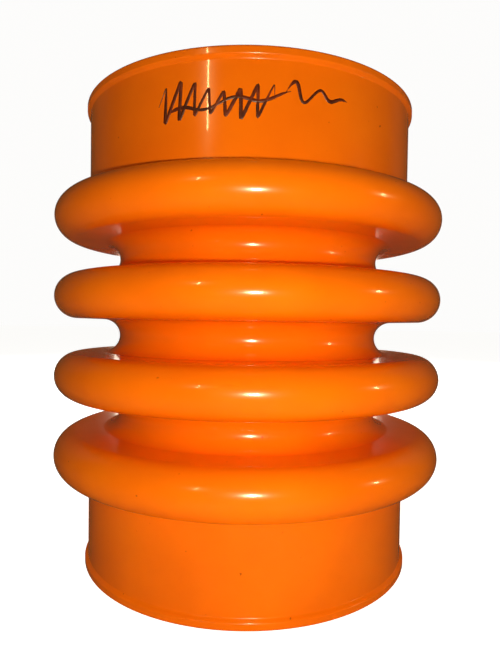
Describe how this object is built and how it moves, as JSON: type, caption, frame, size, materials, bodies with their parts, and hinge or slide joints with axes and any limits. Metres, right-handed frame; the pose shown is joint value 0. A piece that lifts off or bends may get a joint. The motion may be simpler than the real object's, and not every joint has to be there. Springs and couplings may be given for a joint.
{
  "type": "rammer bellows",
  "caption": "Moulded convoluted sleeve with a plain clamp cuff and beaded rim at each end; seals and guards a reciprocating leg while it strokes and tilts.",
  "frame": {"origin": "centre of the lower mouth, on the plane of the lower rim", "axes": "+Z along the bellows axis, towards the upper rim; X and Y are equal by symmetry"},
  "size_m": [0.214, 0.214, 0.2465],
  "materials": {
    "moulding": "gloss"
  },
  "bodies": {
    "lower_end": {"lower_bead": "moulding", "lower_cuff": "moulding", "lower_shoulder": "moulding", "crest_4": "moulding"},
    "wall_4_upper_body": {"wall_4_upper": "moulding"},
    "root_3_body": {"root_3": "moulding"},
    "wall_3_lower_body": {"wall_3_lower": "moulding"},
    "crest_3_body": {"crest_3": "moulding"},
    "wall_3_upper_body": {"wall_3_upper": "moulding"},
    "root_2_body": {"root_2": "moulding"},
    "wall_2_lower_body": {"wall_2_lower": "moulding"},
    "crest_2_body": {"crest_2": "moulding"},
    "wall_2_upper_body": {"wall_2_upper": "moulding"},
    "root_1_body": {"root_1": "moulding"},
    "wall_1_lower_body": {"wall_1_lower": "moulding"},
    "upper_end": {"upper_bead": "moulding", "upper_cuff": "moulding", "upper_shoulder": "moulding", "crest_1": "moulding"}
  },
  "joints": [
    {"name": "stretch_4_upper", "type": "slide", "parent": "lower_end", "child": "wall_4_upper_body", "axis": [0, 0, 1], "range_m": [-0.005, 0.005], "stiffness_N_per_m": 18000, "deforming": ["wall_4_upper"]},
    {"name": "tip_3", "type": "hinge", "parent": "wall_4_upper_body", "child": "root_3_body", "pos_m": [0, 0, 0.08145], "axis": [1, 0, 0], "range_deg": [-2, 2], "stiffness_Nm_per_rad": 35},
    {"name": "lean_3", "type": "hinge", "parent": "root_3_body", "child": "wall_3_lower_body", "pos_m": [0, 0, 0.08145], "axis": [0, 1, 0], "range_deg": [-2, 2], "stiffness_Nm_per_rad": 35},
    {"name": "stretch_3_lower", "type": "slide", "parent": "wall_3_lower_body", "child": "crest_3_body", "axis": [0, 0, 1], "range_m": [-0.005, 0.005], "stiffness_N_per_m": 18000, "deforming": ["wall_3_lower"]},
    {"name": "stretch_3_upper", "type": "slide", "parent": "crest_3_body", "child": "wall_3_upper_body", "axis": [0, 0, 1], "range_m": [-0.005, 0.005], "stiffness_N_per_m": 18000, "deforming": ["wall_3_upper"]},
    {"name": "tip_2", "type": "hinge", "parent": "wall_3_upper_body", "child": "root_2_body", "pos_m": [0, 0, 0.12325], "axis": [1, 0, 0], "range_deg": [-2, 2], "stiffness_Nm_per_rad": 35},
    {"name": "lean_2", "type": "hinge", "parent": "root_2_body", "child": "wall_2_lower_body", "pos_m": [0, 0, 0.12325], "axis": [0, 1, 0], "range_deg": [-2, 2], "stiffness_Nm_per_rad": 35},
    {"name": "stretch_2_lower", "type": "slide", "parent": "wall_2_lower_body", "child": "crest_2_body", "axis": [0, 0, 1], "range_m": [-0.005, 0.005], "stiffness_N_per_m": 18000, "deforming": ["wall_2_lower"]},
    {"name": "stretch_2_upper", "type": "slide", "parent": "crest_2_body", "child": "wall_2_upper_body", "axis": [0, 0, 1], "range_m": [-0.005, 0.005], "stiffness_N_per_m": 18000, "deforming": ["wall_2_upper"]},
    {"name": "tip_1", "type": "hinge", "parent": "wall_2_upper_body", "child": "root_1_body", "pos_m": [0, 0, 0.16505], "axis": [1, 0, 0], "range_deg": [-2, 2], "stiffness_Nm_per_rad": 35},
    {"name": "lean_1", "type": "hinge", "parent": "root_1_body", "child": "wall_1_lower_body", "pos_m": [0, 0, 0.16505], "axis": [0, 1, 0], "range_deg": [-2, 2], "stiffness_Nm_per_rad": 35},
    {"name": "stretch_1_lower", "type": "slide", "parent": "wall_1_lower_body", "child": "upper_end", "axis": [0, 0, 1], "range_m": [-0.005, 0.005], "stiffness_N_per_m": 18000, "deforming": ["wall_1_lower"]}
  ],
  "couplings": [
    {"joint": "stretch_3_lower", "follows": "stretch_4_upper", "ratio": 1},
    {"joint": "stretch_3_upper", "follows": "stretch_4_upper", "ratio": 1},
    {"joint": "tip_2", "follows": "tip_3", "ratio": 1},
    {"joint": "lean_2", "follows": "lean_3", "ratio": 1},
    {"joint": "stretch_2_lower", "follows": "stretch_4_upper", "ratio": 1},
    {"joint": "stretch_2_upper", "follows": "stretch_4_upper", "ratio": 1},
    {"joint": "tip_1", "follows": "tip_3", "ratio": 1},
    {"joint": "lean_1", "follows": "lean_3", "ratio": 1},
    {"joint": "stretch_1_lower", "follows": "stretch_4_upper", "ratio": 1}
  ]
}
